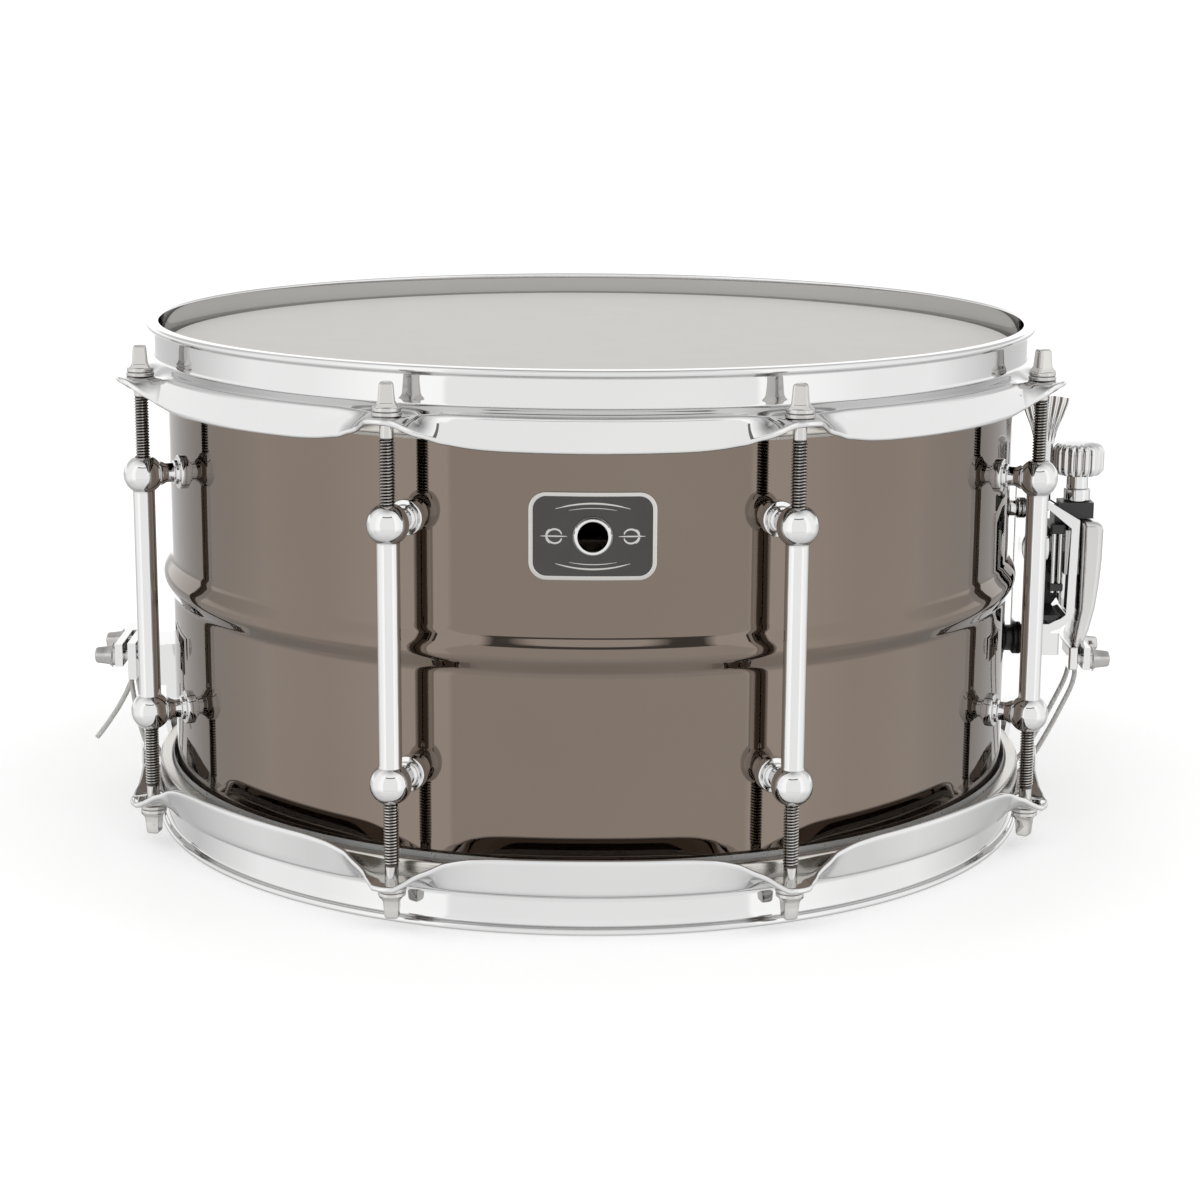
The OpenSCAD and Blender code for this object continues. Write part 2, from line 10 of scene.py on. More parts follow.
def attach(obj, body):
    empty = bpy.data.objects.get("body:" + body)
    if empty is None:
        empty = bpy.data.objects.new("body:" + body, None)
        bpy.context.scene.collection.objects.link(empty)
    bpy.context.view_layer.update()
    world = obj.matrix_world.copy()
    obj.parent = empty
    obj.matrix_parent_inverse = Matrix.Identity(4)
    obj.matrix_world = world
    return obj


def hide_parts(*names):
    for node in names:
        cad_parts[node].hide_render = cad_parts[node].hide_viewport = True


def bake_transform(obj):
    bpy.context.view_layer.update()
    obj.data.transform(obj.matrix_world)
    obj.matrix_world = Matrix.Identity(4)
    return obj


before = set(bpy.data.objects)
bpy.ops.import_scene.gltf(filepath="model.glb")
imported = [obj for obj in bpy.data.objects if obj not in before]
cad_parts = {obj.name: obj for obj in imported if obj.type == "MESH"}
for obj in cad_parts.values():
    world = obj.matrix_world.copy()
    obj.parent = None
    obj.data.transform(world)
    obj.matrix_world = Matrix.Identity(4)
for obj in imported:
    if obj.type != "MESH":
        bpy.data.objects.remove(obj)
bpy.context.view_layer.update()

scene = bpy.context.scene
scene.view_settings.view_transform = "Standard"
random.seed(13)

# Sizes are in millimetres, and shapes are scaled to metres as they become meshes
MM = 0.001
TAU = 2 * math.pi
H = 195.2
MID = H / 2
SHELL_R = 164.3
ROD_R = 179
EAR_TOP = H - 16
BALL_DZ = 45.05
LUGS = range(1, 9)
# A rod's thread, measured from the underside of its key head's collar
THREAD_TOP, THREAD_END, PITCH = -9, -34, 1.058


# ---- Camera ----

def add_camera():
    """The camera, from its place, its aim and its roll."""
    yaw, down, roll = (math.radians(a) for a in (0.5253, 12.3897, 0.3377))
    aim = Vector((math.sin(yaw) * math.cos(down), math.cos(yaw) * math.cos(down), -math.sin(down)))
    side = aim.cross(Vector((0, 0, 1))).normalized()
    top = side.cross(aim)
    right = side * math.cos(roll) + top * math.sin(roll)
    up = top * math.cos(roll) - side * math.sin(roll)
    data = bpy.data.cameras.new("camera")
    data.lens, data.sensor_width = 79.633, 36
    data.clip_start, data.clip_end = 0.01, 50
    camera = bpy.data.objects.new("camera", data)
    scene.collection.objects.link(camera)
    axes = Matrix((right, up, -aim)).transposed().to_4x4()
    camera.matrix_world = Matrix.Translation((-0.00547, -1.03656, 0.30841)) @ axes
    scene.camera = camera


add_camera()


# ---- Materials ----

def node(tree, kind, inputs=None, **settings):
    """A new node of that kind, with its settings and its input values."""
    made = tree.nodes.new(kind)
    for name, value in settings.items():
        setattr(made, name, value)
    for name, value in (inputs or {}).items():
        made.inputs[name].default_value = value
    return made


def material(name, **values):
    """A new material and its shader, with the values that are the same all over."""
    made = bpy.data.materials.new(name)
    made.use_nodes = True
    shader = made.node_tree.nodes["Principled BSDF"]
    for socket, value in values.items():
        shader.inputs[socket.replace("_", " ")].default_value = value
    return made, made.node_tree, shader


def noise(tree, scale, detail=3, stretch=(1, 1, 1), rough=0.5):
    """Noise over the object, stretched along its axes. Its scale is in turns for each metre."""
    place = node(tree, "ShaderNodeTexCoord")
    mapping = node(tree, "ShaderNodeMapping", {"Scale": stretch})
    made = node(tree, "ShaderNodeTexNoise", {"Scale": scale, "Detail": detail, "Roughness": rough})
    tree.links.new(place.outputs["Object"], mapping.inputs["Vector"])
    tree.links.new(mapping.outputs["Vector"], made.inputs["Vector"])
    return made.outputs["Fac"]


def spread(tree, source, low, high, start=0.0, end=1.0):
    """source, which runs from start to end, brought to the range from low to high."""
    made = node(tree, "ShaderNodeMapRange",
                {"From Min": start, "From Max": end, "To Min": low, "To Max": high})
    tree.links.new(source, made.inputs["Value"])
    return made.outputs["Result"]


def math_node(tree, operation, *sources):
    """One operation on its sources, each of them a number or a socket."""
    made = node(tree, "ShaderNodeMath", operation=operation)
    for socket, source in zip(made.inputs, sources):
        if isinstance(source, (int, float)):
            socket.default_value = source
        else:
            tree.links.new(source, socket)
    return made.outputs["Value"]


def tinted(tree, shader, fac, first, second):
    """Colours the shader between two colours."""
    ramp = node(tree, "ShaderNodeValToRGB")
    ramp.color_ramp.elements[0].position, ramp.color_ramp.elements[1].position = 0.3, 0.7
    ramp.color_ramp.elements[0].color, ramp.color_ramp.elements[1].color = (*first, 1), (*second, 1)
    tree.links.new(fac, ramp.inputs["Fac"])
    tree.links.new(ramp.outputs["Color"], shader.inputs["Base Color"])


def bumped(tree, shader, source, strength, distance):
    """Bumps the shader's surface by source."""
    made = node(tree, "ShaderNodeBump", {"Strength": strength, "Distance": distance})
    tree.links.new(source, made.inputs["Height"])
    tree.links.new(made.outputs["Normal"], shader.inputs["Normal"])


def metal(name, first, second, polish, grain=900, stretch=(1, 1, 1), dent=0.0):
    """Bare or plated metal. polish is its lowest and highest roughness."""
    made, tree, shader = material(name, Metallic=1.0)
    tinted(tree, shader, noise(tree, 9, 2), first, second)
    wear = spread(tree, noise(tree, grain, 4, stretch), *polish, 0.35, 0.75)
    tree.links.new(wear, shader.inputs["Roughness"])
    if dent:
        bumped(tree, shader, noise(tree, grain, 2, stretch), dent, 0.0002)
    return made


def coated_film():
    """Sprayed white coating with a fine pebbled grain."""
    made, tree, shader = material("coated_film", Specular_IOR_Level=0.3)
    tinted(tree, shader, noise(tree, 60, 5), (0.538, 0.523, 0.50), (0.552, 0.537, 0.513))
    grain = noise(tree, 1500, 3, rough=0.7)
    tree.links.new(spread(tree, grain, 0.55, 0.8), shader.inputs["Roughness"])
    bumped(tree, shader, grain, 0.35, 0.00015)
    return made


def clear_film():
    """Thin hazy film that lets some light through."""
    made, tree, shader = material("clear_film", Transmission_Weight=0.55, IOR=1.25)
    tinted(tree, shader, noise(tree, 25, 3), (0.55, 0.55, 0.54), (0.62, 0.62, 0.61))
    haze = noise(tree, 300, 4)
    tree.links.new(spread(tree, haze, 0.22, 0.38), shader.inputs["Roughness"])
    bumped(tree, shader, haze, 0.1, 0.0001)
    return made


def raw_aluminium():
    """Extruded aluminium with lines along its length."""
    made, tree, shader = material("raw_aluminium", Metallic=1.0)
    lines = noise(tree, 260, 3, (0.1, 0.1, 9))
    tinted(tree, shader, lines, (0.43, 0.41, 0.38), (0.53, 0.515, 0.485))
    tree.links.new(spread(tree, lines, 0.16, 0.32), shader.inputs["Roughness"])
    bumped(tree, shader, lines, 0.2, 0.0002)
    return made


def threaded_steel():
    """Plated steel of a rod about its own Z axis, with painted shade that darkens the grooves of its thread.
    """
    made, tree, shader = material("threaded_steel", Metallic=1.0)
    axes = node(tree, "ShaderNodeSeparateXYZ")
    tree.links.new(node(tree, "ShaderNodeTexCoord").outputs["Object"], axes.inputs["Vector"])
    x, y, z = (axes.outputs[a] for a in "XYZ")
    squares = [math_node(tree, "MULTIPLY", a, a) for a in (x, y)]
    radius = math_node(tree, "SQRT", math_node(tree, "ADD", *squares))
    # Painted shade: the colour goes near black towards the roots of the thread and stays full on its crests
    # and above the thread
    crest = spread(tree, radius, 0, 1, 0.00218, 0.00262)
    clear = spread(tree, z, 0, 1, THREAD_TOP * MM, (THREAD_TOP + 0.3) * MM)
    wear = noise(tree, 1400, 4)
    unshaded = math_node(tree, "MAXIMUM", crest, clear)
    bright = math_node(tree, "MULTIPLY", unshaded, spread(tree, wear, 0.85, 1))
    tinted(tree, shader, bright, (0.055, 0.048, 0.042), (0.50, 0.49, 0.475))
    tree.links.new(spread(tree, wear, 0.04, 0.12, 0.35, 0.75), shader.inputs["Roughness"])
    return made


def dark_coat(name, first, second, rough, grain, strength):
    """Black enamel or plastic."""
    made, tree, shader = material(name)
    tinted(tree, shader, noise(tree, 40, 3), first, second)
    fine = noise(tree, grain, 3)
    tree.links.new(spread(tree, fine, *rough), shader.inputs["Roughness"])
    bumped(tree, shader, fine, strength, 0.0001)
    return made


def snare_cord():
    """Translucent nylon, twisted from fine filaments."""
    made, tree, shader = material("snare_cord", Transmission_Weight=0.35, IOR=1.4,
                                  Subsurface_Weight=0.2, Subsurface_Radius=(0.002, 0.002, 0.002))
    tinted(tree, shader, noise(tree, 200, 3), (0.52, 0.51, 0.49), (0.62, 0.62, 0.60))
    strands = noise(tree, 900, 2, (1, 1, 0.25))
    tree.links.new(spread(tree, strands, 0.18, 0.4), shader.inputs["Roughness"])
    bumped(tree, shader, strands, 0.3, 0.0002)
    return made


MATS = {
    "black_nickel": metal("black_nickel", (0.166, 0.134, 0.112), (0.174, 0.142, 0.119),
                          (0.012, 0.045), 500),
    "chrome": metal("chrome", (0.585, 0.583, 0.583), (0.615, 0.612, 0.61), (0.02, 0.06)),
    "plated_steel": metal("plated_steel", (0.42, 0.41, 0.40), (0.50, 0.495, 0.485),
                          (0.04, 0.11), 1400, dent=0.05),
    "coated_film": coated_film(),
    "clear_film": clear_film(),
    "raw_aluminium": raw_aluminium(),
    "threaded_steel": threaded_steel(),
    "brushed_chrome": metal("brushed_chrome", (0.44, 0.435, 0.43), (0.56, 0.555, 0.55),
                            (0.12, 0.24), 1500, (1, 1, 0.06), 0.15),
    "badge_black": dark_coat("badge_black", (0.018, 0.016, 0.015), (0.028, 0.025, 0.023),
                             (0.08, 0.2), 700, 0.05),
    "badge_line": metal("badge_line", (0.44, 0.43, 0.41), (0.52, 0.51, 0.49), (0.16, 0.3), 1200),
    "black_plastic": dark_coat("black_plastic", (0.012, 0.012, 0.012), (0.024, 0.023, 0.022),
                               (0.3, 0.5), 1600, 0.2),
    "snare_wire": metal("snare_wire", (0.46, 0.455, 0.44), (0.54, 0.53, 0.52), (0.2, 0.35), 1500),
    "plate_brass": metal("plate_brass", (0.46, 0.34, 0.17), (0.53, 0.41, 0.22), (0.18, 0.35), 700, dent=0.1),
    "snare_cord": snare_cord(),
}


# ---- Shapes: a shape is its points, in millimetres, and its faces ----

def grid(points, wrap_rows=False, wrap_cols=True):
    """Quads over rows of points."""
    p = np.asarray(points, float)
    rows, cols = p.shape[:2]
    last_row, last_col = rows if wrap_rows else rows - 1, cols if wrap_cols else cols - 1
    faces = [(r * cols + c, r * cols + (c + 1) % cols,
              (r + 1) % rows * cols + (c + 1) % cols, (r + 1) % rows * cols + c)
             for r in range(last_row) for c in range(last_col)]
    return p.reshape(-1, 3), faces


def lathe(profile, n=64, closed=False):
    """A profile of (radius, height) turned round Z. A closed one ends where it begins."""
    turn = np.arange(n) * TAU / n
    rows = [np.stack([r * np.cos(turn), r * np.sin(turn), np.full(n, z)], 1) for r, z in profile]
    return grid(rows, wrap_rows=closed)


def joined(*shapes):
    """Several shapes as one."""
    points, faces, base = [], [], 0
    for p, f in shapes:
        points.append(p)
        faces += [tuple(i + base for i in face) for face in f]
        base += len(p)
    return np.concatenate(points), faces


def moved(shape, *steps):
    """A shape after the steps, which are 4 x 4 matrices or (x, y, z) shifts, one after the other."""
    points, faces = shape
    for step in steps:
        if isinstance(step, Matrix):
            m = np.array(step)
            points = points @ m[:3, :3].T + m[:3, 3]
        else:
            points = points + np.array(step, float)
    return points, faces


def turned(degrees, axis="Z"):
    """A turn about an axis through the origin."""
    return Matrix.Rotation(math.radians(degrees), 4, axis)


# Turns what stands along +Z to lie along +X
TO_X = turned(90, "Y")
# Turns a shape of the top end over to the bottom end
TO_BOTTOM = Matrix.Translation((0, 0, H)) @ turned(180, "X")


def fillet(points, radii, steps=5, closed=True):
    """An outline with its corners rounded. radii is one radius, or one for each point."""
    pts = [np.array(p, float) for p in points]
    radii = [radii] * len(pts) if np.isscalar(radii) else radii
    out = []
    for i, (p, radius) in enumerate(zip(pts, radii)):
        a, b = pts[i - 1] - p, pts[(i + 1) % len(pts)] - p
        la, lb = np.linalg.norm(a), np.linalg.norm(b)
        half = math.acos(np.clip(a @ b / (la * lb), -1, 1)) / 2
        if radius <= 0 or half > 1.53 or (not closed and i in (0, len(pts) - 1)):
            out.append(p)
            continue
        cut = min(radius / math.tan(half), 0.49 * la, 0.49 * lb)
        first, second, weight = p + a / la * cut, p + b / lb * cut, math.sin(half)
        for k in range(steps + 1):
            t = k / steps
            parts = (1 - t) ** 2, 2 * t * (1 - t) * weight, t ** 2
            out.append((parts[0] * first + parts[1] * p + parts[2] * second) / sum(parts))
    return out


def smooth_table(t, places, values):
    """A smooth curve through the values that doesn't overshoot between them."""
    x, y = np.array(places, float), np.array(values, float)
    step = np.diff(y) / np.diff(x)
    inner = [0 if a * b <= 0 else 2 * a * b / (a + b) for a, b in zip(step, step[1:])]
    slope = np.concatenate([[0], inner, [0]])
    i = np.clip(np.searchsorted(x, t) - 1, 0, len(x) - 2)
    h = x[i + 1] - x[i]
    u = np.clip((t - x[i]) / h, 0, 1)
    return ((1 + 2 * u) * (1 - u) ** 2 * y[i] + u * (1 - u) ** 2 * h * slope[i]
            + u * u * (3 - 2 * u) * y[i + 1] + u * u * (u - 1) * h * slope[i + 1])


def tube(path, radius, sides=12, ends=True):
    """A round tube along a path. radius is one radius, or one for each point."""
    p = np.array(path, float)
    radius = np.full(len(p), radius) if np.isscalar(radius) else np.array(radius, float)
    ahead = np.gradient(p, axis=0)
    ahead /= np.linalg.norm(ahead, axis=1)[:, None]
    side = np.cross(ahead[0], (0, 1, 0) if abs(ahead[0][1]) < 0.9 else (1, 0, 0))
    turn = np.arange(sides) * TAU / sides
    rows = []
    for centre, way, r in zip(p, ahead, radius):
        side = side - way * (side @ way)
        side /= np.linalg.norm(side)
        up = np.cross(way, side)
        rows.append([centre + r * (math.cos(a) * side + math.sin(a) * up) for a in turn])
    points, faces = grid(rows)
    if ends:
        faces += [tuple(range(sides))[::-1], tuple(range(len(points) - sides, len(points)))]
    return points, faces


def prism(outline, low, high):
    """An outline of (x, y) raised from z = low to z = high."""
    n = len(outline)
    points = [(*p, low) for p in outline] + [(*p, high) for p in outline]
    faces = [tuple(range(n))[::-1], tuple(range(n, 2 * n))]
    faces += [(i, (i + 1) % n, (i + 1) % n + n, i + n) for i in range(n)]
    return np.array(points, float), faces


def side_prism(outline, low, high):
    """An outline of (x, z) carried along Y from y = low to y = high."""
    points, faces = prism(outline, -high, -low)
    return moved((points, faces), turned(90, "X"))


def loft(sections, n=48, power=5.0):
    """Rounded squares, each (height, half width), one above the other."""
    turn = np.arange(n) * TAU / n
    c, s = np.cos(turn), np.sin(turn)
    x, y = (np.sign(v) * np.abs(v) ** (2 / power) for v in (c, s))
    return grid([np.stack([w * x, w * y, np.full(n, z)], 1) for z, w in sections])


# ---- Pieces ----

def mesh_of(name, shape, look, sharp=35):
    """A mesh of the shape in metres, smooth but for its sharp edges."""
    points, faces = shape
    mesh = bpy.data.meshes.new(name)
    mesh.from_pydata([tuple(p) for p in np.asarray(points) * MM], [], faces)
    work = bmesh.new()
    work.from_mesh(mesh)
    bmesh.ops.remove_doubles(work, verts=work.verts, dist=2e-6)
    bmesh.ops.dissolve_degenerate(work, edges=work.edges, dist=1e-6)
    bmesh.ops.recalc_face_normals(work, faces=work.faces)
    work.to_mesh(mesh)
    work.free()
    mesh.polygons.foreach_set("use_smooth", [True] * len(mesh.polygons))
    mesh.set_sharp_from_angle(angle=math.radians(sharp))
    mesh.materials.append(MATS[look])
    mesh["look"] = look
    return mesh


def put(name, mesh, body, nodes=(), at=None, bevel=0):
    """A piece of that mesh, in its place, on its body."""
    obj = bpy.data.objects.new(name, mesh)
    scene.collection.objects.link(obj)
    if at is not None:
        obj.matrix_world = Matrix.Translation(at.to_translation() * MM) @ at.to_3x3().to_4x4()
    if bevel:
        soften(obj, bevel)
    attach(obj, body)
    if nodes:
        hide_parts(*nodes)
    return obj


def soften(obj, width, segments=3):
    """Rounds the edges of a piece."""
    edge = obj.modifiers.new("edge", "BEVEL")
    edge.width, edge.segments, edge.limit_method = width * MM, segments, "ANGLE"
    edge.angle_limit, edge.harden_normals = math.radians(32), True


def lug_turn(k):
    """The turn about the drum's axis to lug k."""
    return turned(45 * (k - 0.5))


# ---- The free end of one snare cord, which hangs out of the butt plate's clamp ----

TAIL_Y = -4
TAIL = [(-183, 51.5), (-183, 49.5), (-183.5, 47.5), (-184.5, 45.2), (-185.7, 42.6), (-187.1, 40),
        (-188.7, 37.2), (-190.5, 34.4), (-192.4, 31.6), (-194.4, 28.8), (-196.4, 26.2), (-197.9, 24.3)]
CORD_R = 1.0


def add_cord_tail():
    tail = tube([(x, TAIL_Y, z) for x, z in TAIL], CORD_R, 16)
    obj = put("cord_tail_line", mesh_of("cord_tail_line", tail, "snare_cord"), "drum", ["cord_tail"])


# ---- Shell, badge and vent ----

# The bead's lean from upright at these heights from its middle
LEAN_AT = [0, 1.3, 2.2, 3.4, 5.8, 6.6, 7.6, 8.8]
LEAN = [0, 15, 25.5, 31.2, 31.2, 20, 8, 0]
BEAD_STEPS = np.arange(0, LEAN_AT[-1], 0.05)


def bead_profile():
    """How far the bead stands out at each of its steps."""
    slope = np.tan(np.radians([smooth_table(z, LEAN_AT, LEAN) for z in BEAD_STEPS]))
    return np.cumsum(slope[::-1])[::-1] * 0.05


BEAD_OUT = bead_profile()


def wall_out(z):
    """How far the wall stands out at height z."""
    return float(np.interp(abs(z - MID), BEAD_STEPS, BEAD_OUT, right=0))


def shell_shape():
    """The wall with its bead, and the edges that turn in under the heads."""
    edge = fillet([(SHELL_R, 11.5), (162.7, 8.7), (159.9, 10.3), (159.9, 12.2), (162.6, 11.2), (163.1, 13)],
                  [0, 1.4, 0.6, 0.5, 0.8, 0], 4, closed=False)
    heights = sorted({round(z, 2) for z in [*np.arange(14, 182, 4), *np.arange(MID - 14, MID + 14.01, 0.5)]})
    outer = [(SHELL_R + wall_out(z), z) for z in heights]
    inner = [(SHELL_R - 1.2 + wall_out(z), z) for z in heights]
    upper = [(r, H - z) for r, z in edge]
    return lathe([*edge[::-1], *outer, *upper, *inner[::-1]], 360, closed=True)


def cut_hole(obj, shape):
    """Cuts a shape out of a piece for good."""
    cutter = bpy.data.objects.new("cutter", mesh_of("cutter", shape, "chrome"))
    scene.collection.objects.link(cutter)
    boolean = obj.modifiers.new("hole", "BOOLEAN")
    boolean.operation, boolean.solver, boolean.object = "DIFFERENCE", "EXACT", cutter
    bpy.context.view_layer.update()
    whole = bpy.data.meshes.new_from_object(obj.evaluated_get(bpy.context.evaluated_depsgraph_get()))
    obj.modifiers.remove(boolean)
    obj.data = whole
    bpy.data.objects.remove(cutter)


BADGE_Z, BADGE_W, BADGE_H, BADGE_CORNER, BADGE_HOLE_R = 138.6, 43.2, 30, 6, 6.0
VENT_R = 5.1
# Turns what stands along +Z at the origin to point out of the drum's front at the badge
TO_FRONT = Matrix.Translation((0, 0, BADGE_Z)) @ turned(90, "X")


def on_wall(points):
    """Points of (across, height from the badge's middle, distance out of the shell), laid on the shell."""
    p = np.asarray(points, float)
    a, r = p[..., 0] / SHELL_R, SHELL_R + p[..., 2]
    return np.stack([r * np.sin(a), -r * np.cos(a), BADGE_Z + p[..., 1]], -1)


def rounded_rect(inset, n):
    """n points round the badge's outline, moved in by inset, from the middle of its right side."""
    w, h, c = BADGE_W / 2 - inset, BADGE_H / 2 - inset, max(BADGE_CORNER - inset, 0.5)
    line = [(w, -h + c)]
    corners = (w - c, h - c, 0), (-w + c, h - c, 90), (-w + c, -h + c, 180), (w - c, -h + c, 270)
    for cx, cy, start in corners:
        line += [(cx + c * math.cos(math.radians(start + a)), cy + c * math.sin(math.radians(start + a)))
                 for a in range(0, 91, 6)]
    line = np.array(line)
    walk = np.concatenate([[0], np.cumsum(np.linalg.norm(np.diff(line, axis=0), axis=1))])
    start = walk[1] / 2
    at = (start + np.arange(n) * walk[-1] / n) % walk[-1]
    return np.stack([np.interp(at, walk, line[:, i]) for i in (0, 1)], 1)


def badge_ring(inset, out, n=192, share=1.0):
    """One ring of the badge: its outline moved in, or part of the way from the vent hole to it."""
    outline = rounded_rect(inset, n)
    hole = outline / np.linalg.norm(outline, axis=1)[:, None] * BADGE_HOLE_R
    flat = hole + (outline - hole) * share
    return [(x, y, out) for x, y in flat]


def add_badge():
    """A black enamelled plate with a raised border, and a plain ornament round the vent."""
    face = 0.5
    field = [badge_ring(1.5, face, share=s) for s in np.linspace(0, 1, 14)]
    plate = [badge_ring(1.5, 0.02, share=0), *field, badge_ring(1.0, face), badge_ring(0.6, 0.02)]
    points, faces = grid(plate, wrap_rows=True)
    put("badge_plate", mesh_of("badge_plate", (on_wall(points), faces), "badge_black"), "drum", ["badge"])
    section = ((1.45, 0.3), (1.45, 0.66), (1.3, 0.78), (0.3, 0.78), (0.08, 0.68), (0, 0.45), (0, 0.02),
               (1.45, 0.02))
    border = [badge_ring(inset, out) for inset, out in section]
    points, faces = grid(border, wrap_rows=True)
    shapes = [(on_wall(points), faces)]
    for side in (-1, 1):
        for lift in (-1, 1):
            curl = []
            for t in (k / 40 for k in range(41)):
                a, r = t * 4.4, 0.9 + 2.3 * t
                curl.append((side * (11.4 + 2.0 * t - r * math.cos(a)), lift * (0.6 + r * math.sin(a))))
            shapes.append(ribbon(curl, 0.32, 0.62))
        shapes.append(ribbon([(side * x, 0) for x in np.linspace(8.6, 17.6, 24)], 0.26, 0.6))
    for lift in (-1, 1):
        arc = [(x, lift * (11.2 - 0.012 * x * x)) for x in np.linspace(-12.5, 12.5, 40)]
        shapes.append(ribbon(arc, 0.3, 0.6))
        shapes.append(ribbon([(x, lift * (9.6 - 0.012 * x * x)) for x in np.linspace(-8, 8, 30)], 0.18, 0.58))
    border = mesh_of("badge_border", joined(*shapes), "badge_line")
    put("badge_border", border, "drum", ["badge"])


def ribbon(line, half, out):
    """A raised line of rounded section on the badge, tapered to its ends."""
    p = np.array(line, float)
    ahead = np.gradient(p, axis=0)
    ahead /= np.linalg.norm(ahead, axis=1)[:, None]
    side = np.stack([-ahead[:, 1], ahead[:, 0]], 1)
    rows = []
    for i, (c, s) in enumerate(zip(p, side)):
        w = half * (0.25 + 0.75 * math.sin(math.pi * (i + 0.5) / len(p)) ** 0.5)
        rows.append([(*(c + s * w * a), o) for a, o in
                     ((-1, 0.3), (-1, out - 0.06), (-0.6, out), (0.6, out), (1, out - 0.06), (1, 0.3))])
    points, faces = grid(rows)
    n = len(rows[0])
    faces += [tuple(range(n))[::-1], tuple(range(len(points) - n, len(points)))]
    return on_wall(points), faces


def add_grommet():
    """The flared ring that lines the vent."""
    face = SHELL_R + 0.8
    ring = fillet([(VENT_R, 161.6), (VENT_R, face + 1.15), (6.0, face + 1.2), (6.8, face + 0.2),
                   (6.8, face - 0.1), (5.9, face - 0.1), (5.9, 162.9), (6.8, 162.7), (6.8, 161.6)],
                  [0.3, 0.45, 0.5, 0.3, 0, 0, 0.2, 0.3, 0.3], 5)
    shape = moved(lathe(ring, 72, closed=True), TO_FRONT)
    put("vent_ring", mesh_of("vent_ring", shape, "chrome"), "drum", ["vent_grommet"])


def add_shell():
    """The shell, with the hole for the vent."""
    shell = put("shell_wall", mesh_of("shell_wall", shell_shape(), "black_nickel", 50), "drum", ["shell"])
    hole = moved(lathe([(0, 155), (5.95, 155), (5.95, 172), (0, 172)], 72), TO_FRONT)
    cut_hole(shell, hole)


# ---- Heads and hoops, drawn for the top end ----

FILM_Z = H - 8.7


def head_shape(rise=0.35):
    """The film, the collar that turns down over the shell's edge, and the part in the hoop."""
    line = [(0, rise), (150, rise), (161.6, rise), (163.2, rise - 0.05), (164.6, -0.75), (165.25, -2.4),
            (165.8, -5), (166.0, -9), (166.0, -16.6), (165.65, -16.6), (165.65, -5), (165.0, -2.2),
            (164.2, -0.9), (162.9, 0.0), (161.6, 0.02), (150, 0.02), (0, 0.02)]
    rounded = fillet(line, [0, 0, 0, 0.8, 0.8, 1, 1, 1, 0, 0, 1, 1, 0.8, 0.6, 0, 0, 0], 3, closed=False)
    return moved(lathe(rounded, 240), (0, 0, FILM_Z))


def flesh_shape():
    """The U-shaped metal ring that grips the film."""
    line = fillet([(166.05, -23.6), (171.2, -23.6), (171.2, -16.5), (169.2, -16.2), (166.05, -16.2)],
                  [0.8, 1.2, 1.4, 0.8, 0.5], 5)
    return moved(lathe(line, 240, closed=True), (0, 0, H))


# Where the skirt starts to fold down, and half of the sheet's thickness
HINGE_R, SHEET = 173.7, 1.1
# How far each hoop's skirt comes down from its rim, midway between lugs
TOP_DEPTH, BOTTOM_DEPTH = 27.3, 29.5
# Half the width of the gates for the cords, in the bottom hoop
GATE_HALF = 26
# The sheet's fold and its reach from the hinge line, at these degrees from a lug
FOLD_AT = [0, 1.2, 1.7, 2.3, 3.0, 4.5, 6.3, 9.8, 13, 22.5]
FOLD = [0, 0.8, 4.4, 12, 25.5, 47, 68, 76.5, 79.5, 80.5]
REACH = [14, 13.6, 12.1, 11.1, 9.8, 9.3, 10.2, 11.4, 11.8, 12.05]
# The radius of the fold
BEND = 1.4


def hoop_line(t, depth):
    """The middle line of a hoop's sheet at t degrees from a lug, as (radius, height below the rim)."""
    t = abs(t)
    fold = math.radians(smooth_table(t, FOLD_AT, FOLD))
    mid = smooth_table(t, [0, 1.2, 7.5, 22.5], [0, 0, 1, 1])
    hinge_h = 17.1 - 1.2 * mid
    longer = (depth - TOP_DEPTH) * smooth_table(t, [0, 1, 9, 22.5], [0, 0, 1, 1])
    reach = smooth_table(t, FOLD_AT, REACH) + longer
    line = [(167.9, 11.5), (167.95, 13.0), (168.6, 14.0), (170.2, 14.5 + 0.25 * (1 - mid)),
            (172.0, 15.25 + 0.75 * (1 - mid)), (HINGE_R, hinge_h)]
    arc = max(BEND * fold, 0.8)
    for s in [*np.linspace(0, arc, 7)[1:], *np.linspace(arc, reach, 7)[1:]]:
        a = min(s / BEND, fold)
        left = s - BEND * a
        line.append((HINGE_R + BEND * math.sin(a) + left * math.cos(a),
                     hinge_h + BEND * (1 - math.cos(a)) + left * math.sin(a)))
    return np.array(line)


def hoop_section(t, depth, lip_only=False):
    """The closed outline of a hoop at t degrees from a lug, as (radius, height below the rim)."""
    lip = fillet([(169.0, 5.2), (169.0, 2.6), (171.7, 2.6), (171.7, 0), (166.8, 0), (166.8, 5.2)],
                 [0, 0.9, 1.28, 1.28, 0.9, 0], 7, closed=False)
    if lip_only:
        return np.array([(r, min(h, 2.9)) for r, h in lip])
    line = hoop_line(t, depth)
    ahead = np.gradient(line, axis=0)
    ahead /= np.linalg.norm(ahead, axis=1)[:, None]
    out = np.stack([ahead[:, 1], -ahead[:, 0]], 1)
    end, way, across = line[-1], ahead[-1], out[-1]
    cap = [end + SHEET * (math.cos(a) * across + math.sin(a) * way) - way * SHEET
           for a in np.linspace(0, math.pi, 9)]
    outer, inner = line[:-1] + SHEET * out[:-1], line[:-1] - SHEET * out[:-1]
    return np.array([*inner, *cap[::-1], *outer[::-1], *lip])


def lug_angle(azimuth):
    """Degrees from the nearest lug."""
    return azimuth % 45 - 22.5


